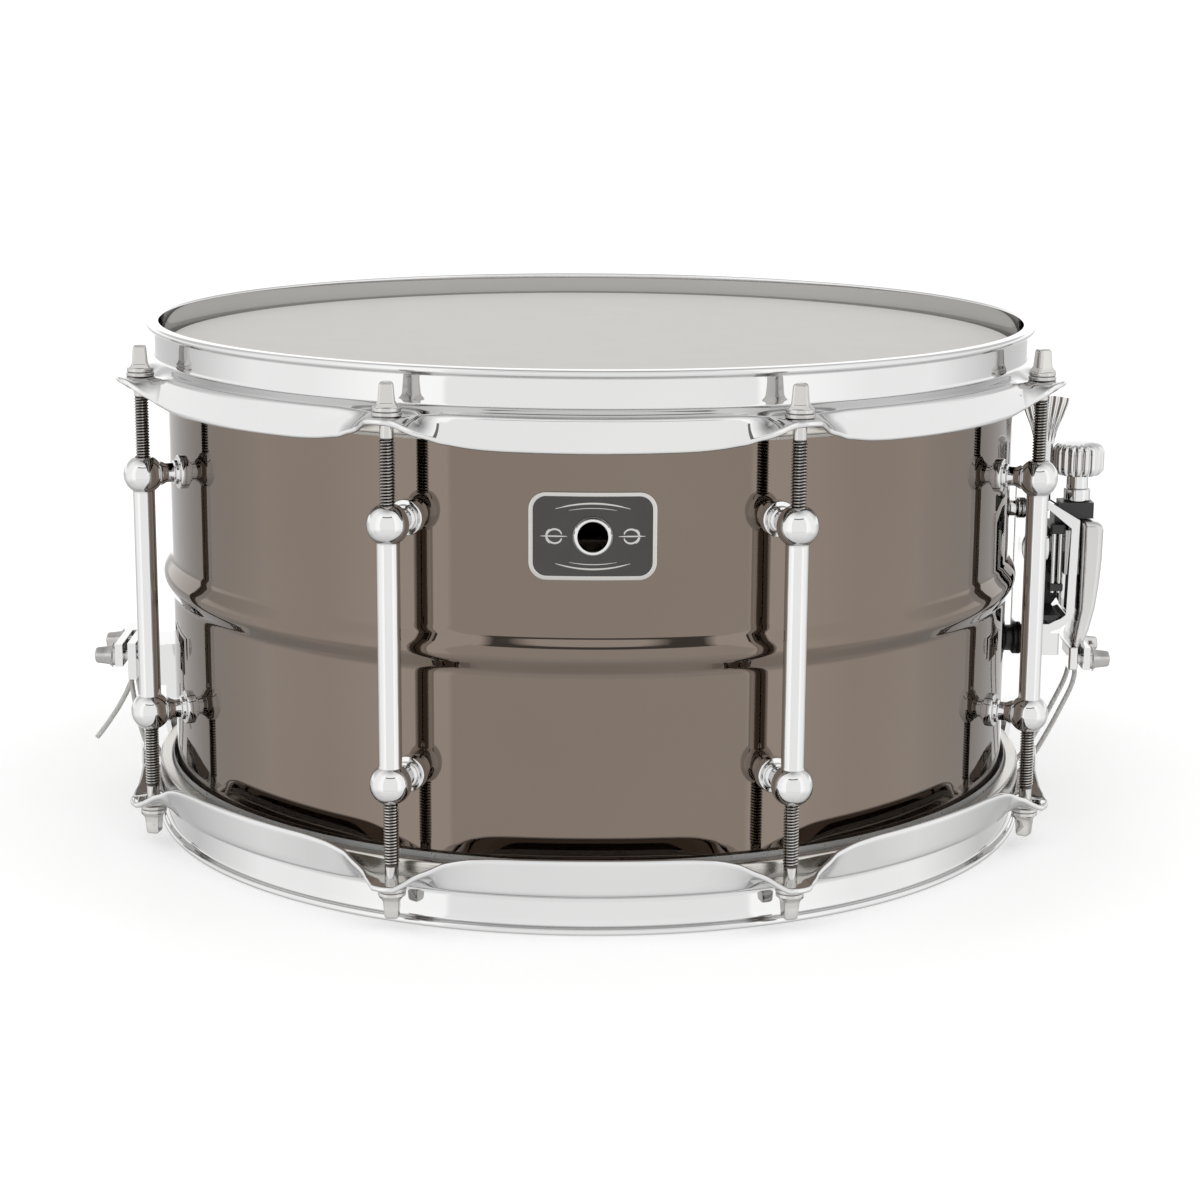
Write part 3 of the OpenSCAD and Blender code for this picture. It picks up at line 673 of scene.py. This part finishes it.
def swept(azimuths, depth, lip_only=False, whole=False):
    """A hoop's section carried through the azimuths. A whole one closes on itself."""
    rows = []
    for a in azimuths:
        section = hoop_section(lug_angle(a), depth, lip_only)
        c, s = math.cos(math.radians(a)), math.sin(math.radians(a))
        rows.append(np.stack([section[:, 0] * c, section[:, 0] * s, H - section[:, 1]], 1))
    points, faces = grid(rows, wrap_rows=whole)
    if not whole:
        n = len(rows[0])
        faces += [tuple(range(n))[::-1], tuple(range(len(points) - n, len(points)))]
    return points, faces


def fine_angles(start, end):
    """Angles from start to end, closer together near the lugs."""
    marks, a = [start], start
    while a < end - 0.05:
        t = abs(lug_angle(a + 0.2))
        a = min(a + (0.35 if t < 8 else 0.7 if t < 14 else 1.2), end)
        marks.append(a)
    return marks


def add_hoops():
    """The top hoop, and the bottom one with only its lip left at the two gates."""
    top = swept(fine_angles(0, 360)[:-1], TOP_DEPTH, whole=True)
    put("top_hoop", mesh_of("top_hoop", top, "chrome", 60), "drum", ["batter_hoop"])
    gate = math.degrees(math.asin(GATE_HALF / 172))
    parts = []
    for middle in (0, 180):
        parts.append(swept(fine_angles(middle + gate, middle + 180 - gate), BOTTOM_DEPTH))
        parts.append(swept(np.linspace(middle - gate, middle + gate, 25), BOTTOM_DEPTH, lip_only=True))
    bottom = moved(joined(*parts), TO_BOTTOM)
    put("bottom_hoop", mesh_of("bottom_hoop", bottom, "chrome", 60), "drum", ["snare_hoop"])


def add_heads():
    """Both heads, each with its flesh ring."""
    ends = ("top", "batter", "coated_film", None), ("bottom", "snare", "clear_film", TO_BOTTOM)
    for end, node_end, film, flip in ends:
        head, flesh = head_shape(), flesh_shape()
        if flip:
            head, flesh = moved(head, flip), moved(flesh, flip)
        put(f"{end}_film", mesh_of(f"{end}_film", head, film), "drum", [f"{node_end}_head"])
        ring = mesh_of(f"{end}_flesh_ring", flesh, "raw_aluminium")
        put(f"{end}_flesh_ring", ring, "drum", [f"{node_end}_flesh_hoop"])


# ---- Lugs and tension rods ----

def lug_shape():
    """A tube with a ball at each end, and a turned post from each ball to the shell."""
    ball, tube_r, bore = 7.3, 4.0, 2.9
    first, last = math.asin(3.6 / ball), math.pi - math.asin(4.1 / ball)
    arc = [(ball * math.sin(a), ball * math.cos(a)) for a in np.linspace(first, last, 30)]
    top = [(bore, 5.0), (bore, 6.35), *arc]
    half = [(r, z + BALL_DZ) for r, z in top]
    half = fillet([*half, (tube_r, half[-1][1] - 0.7), (tube_r, 0)],
                  [0, 0.3, 0.4, *[0] * 28, 0.5, 0.5, 0], 3, closed=False)
    outer = [*half, *[(r, -z) for r, z in half[::-1]]]
    body = moved(lathe(outer, 48, closed=True), (ROD_R, 0, 0))
    post = fillet([(0, 164.0), (6.3, 164.0), (6.3, 166.1), (5.0, 166.3), (4.55, 166.4), (4.45, 167.6),
                   (3.6, 168.0), (3.55, 170.6), (4.6, 172.6), (0, 176)],
                  [0, 0.3, 0.6, 0.2, 0.3, 0.4, 0.3, 1.8, 0, 0], 5, closed=False)
    post = moved(lathe(post, 48), TO_X)
    return joined(body, moved(post, (0, 0, BALL_DZ)), moved(post, (0, 0, -BALL_DZ)))


def add_lugs():
    """The eight lugs, which share one mesh."""
    mesh = mesh_of("lug", lug_shape(), "chrome", 40)
    for k in LUGS:
        put(f"lug_piece_{k}", mesh, "drum", [f"lug_{k}"], at=Matrix.Translation((0, 0, MID)) @ lug_turn(k))


WASHER = 1.5
# The height of the underside of a top rod's collar, just clear of its washer
SEAT = EAR_TOP + WASHER + 0.05
# How far each rod's key head is turned from facing straight forwards
KEY_TURNS = {1: 31, 2: 72, 3: 14, 4: 55, 5: 8, 6: 3, 7: -12, 8: 20}


def rod_shape():
    """A tension rod that hangs from z = 0: key head, collar, shank and thread."""
    rows, n = [], 24
    turn = np.arange(n) * TAU / n
    heights = np.arange(THREAD_END, THREAD_TOP, PITCH / 6)
    for z in heights:
        fade = min(1, (z - THREAD_END) / 1.2, (THREAD_TOP - z) / 1.0)
        wave = np.abs(((z / PITCH - turn / TAU) % 1) * 2 - 1)
        r = 2.12 + 0.62 * fade * np.clip(wave * 1.25 - 0.12, 0, 1)
        rows.append(np.stack([r * np.cos(turn), r * np.sin(turn), np.full(n, z)], 1))
    thread = grid(rows)
    shank = fillet([(0, THREAD_TOP - 0.6), (2.2, THREAD_TOP - 0.5), (2.4, THREAD_TOP), (2.4, -0.4),
                    (3.2, 0.0), (4.9, 0.0), (4.9, 1.55), (3.4, 1.75), (0, 1.75)],
                   [0, 0.2, 0.3, 0.6, 0, 0.4, 0.5, 0, 0], 4, closed=False)
    stub = fillet([(0, -62), (2.2, -62), (2.3, -61), (2.3, THREAD_END + 0.3), (0, THREAD_END + 0.3)],
                  0.3, 3, closed=False)
    return joined(thread, lathe(shank, 40), lathe(stub, 20), key_shape(1.5, 9.9))


def key_shape(low, high):
    """A tapered square key head with rounded corners and a domed end."""
    tall = high - low
    steps = [(0, 0), (0, 4.1), (0.05, 3.9), (0.13, 3.3), (0.24, 2.92), (0.5, 2.72), (0.84, 2.52),
             (0.92, 2.36), (0.97, 2.0), (0.995, 1.4), (1, 0)]
    return loft([(low + tall * s, w) for s, w in steps], power=5.5)


def add_rods():
    """The sixteen rods and their washers."""
    mesh = mesh_of("tension_rod", rod_shape(), "threaded_steel", 45)
    washer = fillet([(2.95, 0), (5.1, 0), (5.1, WASHER), (2.95, WASHER)], [0, 0.35, 0.5, 0.25], 4)
    rings = []
    for k in LUGS:
        place = lug_turn(k) @ Matrix.Translation((ROD_R, 0, 0))
        ring = moved(lathe(washer, 40, closed=True), (0, 0, EAR_TOP), place)
        rings += [ring, moved(ring, TO_BOTTOM)]
        for end in ("top", "bottom"):
            at = place @ Matrix.Translation((0, 0, SEAT)) @ turned(KEY_TURNS[k] - 45 * (k - 0.5))
            if end == "bottom":
                at = Matrix.Translation((0, 0, H)) @ place @ turned(180, "X") \
                    @ Matrix.Translation((0, 0, SEAT)) @ turned(45 * (k - 0.5) + KEY_TURNS[k] * 1.7)
            put(f"{end}_rod_piece_{k}", mesh, f"{end}_rod_{k}", [f"{end}_rod_{k}"], at)
    washers = mesh_of("rod_washer_rings", joined(*rings), "plated_steel")
    put("rod_washer_rings", washers, "drum", ["rod_washers"])


# ---- Throw-off ----

# The lever's pivot, and its crank pin's distance and angle above level
LEVER_X, PIVOT_Z = 179, 104
CRANK_R, CRANK_UP = 6.5, math.radians(37.5)
FAN_ROWS, FAN_COLS = 26, 61


def add_lever():
    """The lever: hub, arm, and a fan with radiating flutes at its top."""
    rows = []
    for v in np.linspace(0, 1, FAN_ROWS):
        w = 4.0 + 5.4 * smooth_table(v, [0, 0.25, 0.7, 1], [0, 0.16, 0.72, 1])
        row = []
        for u in np.linspace(-1, 1, FAN_COLS):
            z = 145 + 17.9 * v + 1.1 * (1 - u * u) * v
            deep = 0.5 * (1 - math.cos(TAU * 3.5 * (u + 1))) * min(1, v * 3) * min(1, (1 - abs(u)) * 9)
            thick = 2.0 - 0.75 * deep - 0.5 * max(0, (abs(u) - 0.9) * 10) ** 2
            row.append((LEVER_X + w * u, thick, z))
        rows.append([*row, *[(x, -y, z) for x, y, z in row[::-1]]])
    points, faces = grid(rows)
    n, top = 2 * FAN_COLS, (FAN_ROWS - 1) * 2 * FAN_COLS
    faces += [(i, i + 1, n - 2 - i, n - 1 - i) for i in range(FAN_COLS - 1)]
    faces += [(top + i, top + n - 1 - i, top + n - 2 - i, top + i + 1) for i in range(FAN_COLS - 1)]
    fan = points, faces
    arm = moved(loft([(118, 0), (118, 3.2), (119, 3.6), (144, 3.9), (146, 3.9), (146, 0)], power=3.5),
                Matrix.Diagonal((1, 0.54, 1, 1)), (178.9, 0, 0))
    lower = moved(loft([(PIVOT_Z, 0), (PIVOT_Z, 2.4), (119, 2.4), (120, 0)], power=6), (LEVER_X, 0, 0))
    hub = fillet([(3.1, 176.25), (8.5, 176.25), (8.5, 181.75), (3.1, 181.75)], [0, 0.7, 0.7, 0], 4)
    hub = moved(lathe(hub, 56, closed=True), TO_X, (0, 0, PIVOT_Z))
    pin = fillet([(0, 180), (1.5, 180), (1.5, 187.5), (0, 187.5)], [0, 0, 0.3, 0], 3, closed=False)
    pin_at = 0, CRANK_R * math.cos(CRANK_UP), PIVOT_Z + CRANK_R * math.sin(CRANK_UP)
    pin = moved(lathe(pin, 24), TO_X, pin_at)
    mesh = mesh_of("lever_piece", joined(fan, arm, lower, hub, pin), "chrome", 50)
    put("lever_piece", mesh, "lever", ["throw_lever"])


def add_cover():
    """The sliding clamp: a crowned cover in front, its tongue, and the bar that holds the cords."""
    edge_z = [62, 64.5, 71.5, 80, 90, 100, 111, 112.2, 113.6, 114.6, 115.1]
    edge_x = [193.4, 196.4, 199, 201, 202.3, 203, 203.15, 203.1, 202.4, 200.8, 198.6]
    back_x = [191.4, 191.2, 191.9, 193.2, 193.2, 193.2, 193.2, 193.2, 193.3, 193.6, 194.4]
    turn = np.arange(64) * TAU / 64
    rows = []
    for z in [62, 62, *np.arange(62.6, 113.5, 1.2), *np.linspace(113.6, 115.1, 6), 115.1]:
        out, back = np.interp(z, edge_z, edge_x), np.interp(z, edge_z, back_x)
        wide = 11 - max(0, 66 - z) ** 2 * 0.05 - max(0, z - 111.5) ** 2 * 0.16
        c, s = np.cos(turn), np.sin(turn)
        x = (out + back) / 2 + (out - back) / 2 * np.sign(c) * np.abs(c) ** (2 / 3.2)
        y = wide * np.sign(s) * np.abs(s) ** (2 / 4.5)
        rows.append(np.stack([x, y, np.full(64, z)], 1))
    rows[0] = rows[0] * [0, 0, 1] + [192.3, 0, 0]
    rows[-1] = rows[-1] * [0, 0, 1] + [196.4, 0, 0]
    cover = grid(rows)
    tongue = side_prism([(188.4, 93), (193.9, 93), (193.9, 110.8), (188.4, 110.8)], -5.4, 5.4)
    bar = side_prism([(189.2, 57), (192.9, 57), (192.9, 66.4), (189.2, 66.4)], -19, 19)
    body = mesh_of("cover_piece", joined(cover, tongue), "brushed_chrome", 50)
    put("cover_piece", body, "carriage", ["clamp_carriage"])
    put("cord_bar", mesh_of("cord_bar", bar, "chrome", 40), "carriage", bevel=0.9)


def add_housing():
    """A black sheet of painted shade inside the strainer's frame, and the guide rods on its slide."""
    # Painted shade: a black sheet on the frame's inner side and floor, where there is only shade
    shade_sheet = joined(side_prism([(174, 77), (186.5, 77), (188.6, 80), (188.6, 99), (174, 99)], 11.1, 11.9),
                   side_prism([(174, 76), (184.5, 76), (186.5, 77.6), (174, 77.6)], -11.2, 11.9))
    put("frame_shade_sheet", mesh_of("frame_shade_sheet", shade_sheet, "black_plastic"), "drum")
    blocks = joined(side_prism([(182, 110), (187.4, 110), (187.4, 114), (182, 114)], -9.4, -5.3),
                    side_prism([(182, 87), (187.4, 87), (187.4, 90), (182, 90)], -9.4, -4))
    put("guide_blocks", mesh_of("guide_blocks", blocks, "black_plastic"), "slide", bevel=0.5)
    bars = joined(*[tube([(x, -7.6, 86.2), (x, -7.6, 113)], 0.95, 20) for x in (183.4, 186.0)])
    put("guide_rods", mesh_of("guide_rods", bars, "chrome"), "slide")


def add_spacers():
    """The two turned feet between the shell and the strainer's base."""
    feet = (("upper_foot", 119, 4.6, "chrome", ["strainer_spacers"]),
            ("lower_foot", 66, 7.2, "black_plastic", []))
    for name, z, r, look, nodes in feet:
        waist, head = r * 0.72, r * 0.9
        foot = fillet([(0, 164.0), (r, 164.0), (r, 165.4), (waist, 166.2), (waist, 168.8), (head, 169.6),
                       (head, 171), (0, 171)], [0, 0.4, 0.4, 0.8, 0.8, 0.4, 0.3, 0], 4, closed=False)
        shape = moved(lathe(foot, 40), TO_X, (0, 0, z))
        put(name, mesh_of(name, shape, look, 40), "drum", nodes)


def add_knob():
    """The fluted knob with its neck, ring and threaded stem."""
    flutes, n = 20, 240
    turn = np.arange(n) * TAU / n
    dip = np.clip(np.cos(flutes * turn), -0.2, 1)
    # Height, radius, and how deep the flutes are there
    profile = ((132.6, 0, 0), (132.6, 7.8, 0), (132.75, 8.6, 0.3), (133.6, 9.3, 0.8), (134.6, 10.0, 1),
               (136, 10.2, 1), (141.5, 10.2, 1), (142.8, 10.0, 1), (143.8, 9.4, 0.75), (144.6, 8.5, 0.35),
               (145.2, 7.3, 0.1), (145.75, 5, 0), (146.05, 2.5, 0), (146.15, 0, 0))
    rows = []
    for z, r, deep in profile:
        ring = np.maximum(r - 0.95 * deep * (dip + 0.2) / 1.2, 0)
        rows.append(np.stack([ring * np.cos(turn), ring * np.sin(turn), np.full(n, z)], 1))
    neck = lathe(fillet([(0, 122.1), (5.3, 122.1), (5.3, 127.05), (4.35, 127.3), (4.3, 132.7), (0, 132.7)],
                        [0, 0.6, 0.7, 0.4, 0, 0], 4, closed=False), 48)
    thread = [(2.0 if k % 2 else 1.72, 90.6 + 0.35 * k) for k in range(86)]
    stem = lathe([(0, 90), (1.6, 90), *thread, (0, 120.8)], 24)
    shape = moved(joined(grid(rows), neck, stem), (193, 0, 0))
    put("knob_piece", mesh_of("knob_piece", shape, "chrome", 40), "knob", ["tuning_knob"])


def key_screw_shape():
    """A clamp screw along +Z, its collar seated at z = 0."""
    shank = fillet([(0, -8), (1.8, -8), (2.0, -7.6), (2.0, 0), (4.2, 0), (4.2, 1.6), (3.2, 1.75), (0, 1.75)],
                   [0, 0.2, 0.2, 0, 0.35, 0.5, 0, 0], 4, closed=False)
    return joined(lathe(shank, 40), key_shape(1.55, 8.75))


def add_key_screws():
    """The four clamp screws, each turned by a seeded random amount."""
    mesh = mesh_of("key_screw", key_screw_shape(), "plated_steel", 45)
    for i, y in ((1, -13), (2, 13)):
        for side, x, flip in (("strainer", 197.7, 0), ("butt", -187.05, 180)):
            at = Matrix.Translation((x, y, 60.5)) @ turned(flip) @ TO_X @ turned(random.uniform(10, 80))
            name = f"{side}_key_screw_{i}"
            put(f"{side}_key_piece_{i}", mesh, name, [name], at=at)


# ---- Snares ----

STRANDS, STRAND_PITCH, STRAND_LEN = 20, 3.1, 264
COIL_R, WIRE_R = 0.82, 0.28
# The strands' middle height, under the lower film
STRAND_Z = 6.95


def add_snares():
    """Coiled wires, each with a straight tip under its plate."""
    turns, steps = 104, 10
    t = np.arange(turns * steps + 1) / steps
    x = -(STRAND_LEN / 2 - 6) + t * (STRAND_LEN - 12) / turns
    coil = np.stack([x, COIL_R * np.cos(TAU * t), COIL_R * np.sin(TAU * t)], 1)
    strand = tube(coil, WIRE_R, 4)
    wires = []
    for i in range(STRANDS):
        y = (i - (STRANDS - 1) / 2) * STRAND_PITCH
        wires.append(moved(strand, turned(random.uniform(0, 360), "X"), (0, y, STRAND_Z)))
        for s in (-1, 1):
            tip = [(s * (STRAND_LEN / 2 - inset), y, STRAND_Z) for inset in (7, 0)]
            wires.append(tube(tip, 0.5, 8))
    put("snare_coils", mesh_of("snare_coils", joined(*wires), "snare_wire", 60), "snares", ["snare_wires"])


CORD_Y = 7
# Each pair's way down from its clamp and in to its snare plate, as (x, z)
STRAINER_ROUTE = [(193.93, 65.5), (193.93, 60), (193.93, 56), (193.9, 52), (192.4, 46.5), (189, 39),
                  (185.2, 31), (179, 19.5), (174.4, 13.2), (169.4, 9), (164, 7), (158, 6.9), (148, 6.9),
                  (138, 6.9)]
BUTT_ROUTE = [(-183, 66), (-183, 58), (-183, 52), (-182.6, 46), (-181.4, 38), (-179.6, 29), (-177, 20.5),
              (-173.4, 13.2), (-168.8, 9), (-163.6, 7), (-158, 6.9), (-148, 6.9), (-138, 6.9)]


def smooth_path(points, count):
    """Points along a smooth curve through the given ones."""
    p = np.array(points, float)
    p = np.concatenate([[2 * p[0] - p[1]], p, [2 * p[-1] - p[-2]]])
    out = []
    for i in range(1, len(p) - 2):
        for t in np.arange(count) / count:
            a, b, c, d = p[i - 1:i + 3]
            square, cube = 2 * a - 5 * b + 4 * c - d, 3 * b - a - 3 * c + d
            out.append(0.5 * (2 * b + (c - a) * t + square * t * t + cube * t ** 3))
    return [*out, p[-2]]


def cord_pair(route):
    """The two cords that follow one route, side by side."""
    paths = [smooth_path([(x, y, z) for x, z in route], 4) for y in (-CORD_Y, CORD_Y)]
    return joined(*[tube(path, CORD_R, 14) for path in paths])


def add_cords():
    """The cords at the butt plate, with the clamped start of the free one, and those at the strainer."""
    stub = tube([(-183, TAIL_Y, 66), (-183, TAIL_Y, 58), (-183, TAIL_Y, 51.5)], CORD_R, 14)
    butt = mesh_of("butt_cord_pair", joined(cord_pair(BUTT_ROUTE), stub), "snare_cord")
    put("butt_cord_pair", butt, "drum", ["butt_cords"])
    mesh = mesh_of("strainer_cord_pair", cord_pair(STRAINER_ROUTE), "snare_cord")
    cords = bpy.data.objects.new("strainer_cord_pair", mesh)
    scene.collection.objects.link(cords)
    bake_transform(cords)
    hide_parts("strainer_cords")


# ---- CAD nodes that stay, with a finish and rounded edges ----

# Each node's look, and the width that its edges are rounded by
KEPT = {
    "lug_screws": ("plated_steel", 0), "strainer_base": ("chrome", 1.1),
    "strainer_screws": ("plated_steel", 0), "lever_pivot": ("plated_steel", 0.4),
    "throw_slide": ("black_plastic", 0.5), "strainer_clamp_plate": ("chrome", 0.7),
    "butt_bracket": ("chrome", 0.9), "butt_screws": ("plated_steel", 0), "butt_clamp_plate": ("chrome", 0.7),
    "snare_plate_strainer": ("plate_brass", 0.25), "snare_plate_butt": ("plate_brass", 0.25),
}


def finish_kept_nodes():
    for name, (look, width) in KEPT.items():
        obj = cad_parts[name]
        obj.data.materials.clear()
        obj.data.materials.append(MATS[look])
        if width:
            soften(obj, width)


# ---- Stage and light ----

def add_floor():
    """A white floor, which the drum's own reflections don't show."""
    made, tree, shader = material("floor_white", Roughness=0.9, Specular_IOR_Level=0.1)
    tinted(tree, shader, noise(tree, 3, 2), (0.79, 0.79, 0.79), (0.81, 0.81, 0.81))
    shader.inputs["Emission Color"].default_value = (1, 1, 1, 1)
    shader.inputs["Emission Strength"].default_value = 0.3
    MATS["floor_white"] = made
    disc = lathe([(0, -0.05), (6000, -0.05)], 96)
    floor = bpy.data.objects.new("floor", mesh_of("floor", disc, "floor_white"))
    scene.collection.objects.link(floor)
    floor.visible_glossy = False


def band(tree, source, low, high, soft):
    """1 where source is between low and high, with soft ends."""
    up = spread(tree, source, 0, 1, low - soft, low + soft)
    down = spread(tree, source, 1, 0, high - soft, high + soft)
    return math_node(tree, "MULTIPLY", up, down)


def dimmed(tree, mask, share):
    """1 where mask is 0, and less than that by share where it is 1."""
    return math_node(tree, "SUBTRACT", 1.0, math_node(tree, "MULTIPLY", mask, share))


def add_light():
    """A white studio, by azimuth from the front and by height.

    In front stands a pale grey screen with a dark upper edge. The flanks and the wings behind them are
    greyer, up to the white backdrop, and so are the roof and the light from below.
    """
    world = bpy.data.worlds.new("studio")
    scene.world = world
    world.use_nodes = True
    tree = world.node_tree
    place = node(tree, "ShaderNodeTexCoord")
    axes = node(tree, "ShaderNodeSeparateXYZ")
    tree.links.new(place.outputs["Generated"], axes.inputs["Vector"])
    x, y, z = (axes.outputs[a] for a in "XYZ")
    azimuth = math_node(tree, "ARCTAN2", x, math_node(tree, "MULTIPLY", y, -1))
    height = math_node(tree, "ARCSINE", z)
    radians = math.radians
    sides = band(tree, azimuth, radians(-37), radians(42), radians(0.7))
    screen = math_node(tree, "MULTIPLY", sides, band(tree, height, radians(-28), radians(42), radians(0.7)))
    middle = band(tree, azimuth, radians(-33), radians(38), radians(2))
    edge = math_node(tree, "MULTIPLY", middle, band(tree, height, radians(42), radians(48), radians(0.4)))
    light = math_node(tree, "MULTIPLY", dimmed(tree, screen, 0.17), dimmed(tree, edge, 0.85))
    turn = math_node(tree, "ABSOLUTE", azimuth)
    flank = spread(tree, turn, 1.0, 0.88, radians(52), radians(74))
    horizon = band(tree, height, radians(-1.5), radians(14), radians(1.5))
    wings = math_node(tree, "MULTIPLY", spread(tree, turn, 0, 0.36, radians(96), radians(128)),
                      math_node(tree, "SUBTRACT", 1.0, horizon))
    backdrop = math_node(tree, "MULTIPLY", wings, spread(tree, turn, 0, 1, radians(160), radians(166)))
    below = spread(tree, height, 0.75, 1.0, radians(-34), radians(-18))
    above = spread(tree, height, 1.0, 0.72, radians(46), radians(66))
    floor_shade = spread(tree, height, 0.75, 1.0, radians(-78), radians(-42))
    roof = spread(tree, height, 1.0, 0.45, radians(66), radians(84))
    around = math_node(tree, "ADD", math_node(tree, "SUBTRACT", flank, wings), backdrop)
    for share in (around, below, above, floor_shade, roof):
        light = math_node(tree, "MULTIPLY", light, share)
    tree.links.new(light, tree.nodes["Background"].inputs["Color"])
    tree.nodes["Background"].inputs["Strength"].default_value = 1.54


add_cord_tail()
add_shell()
add_badge()
add_grommet()
add_heads()
add_hoops()
add_lugs()
add_rods()
add_lever()
add_cover()
add_housing()
add_spacers()
add_knob()
add_key_screws()
add_snares()
add_cords()
finish_kept_nodes()
add_floor()
add_light()
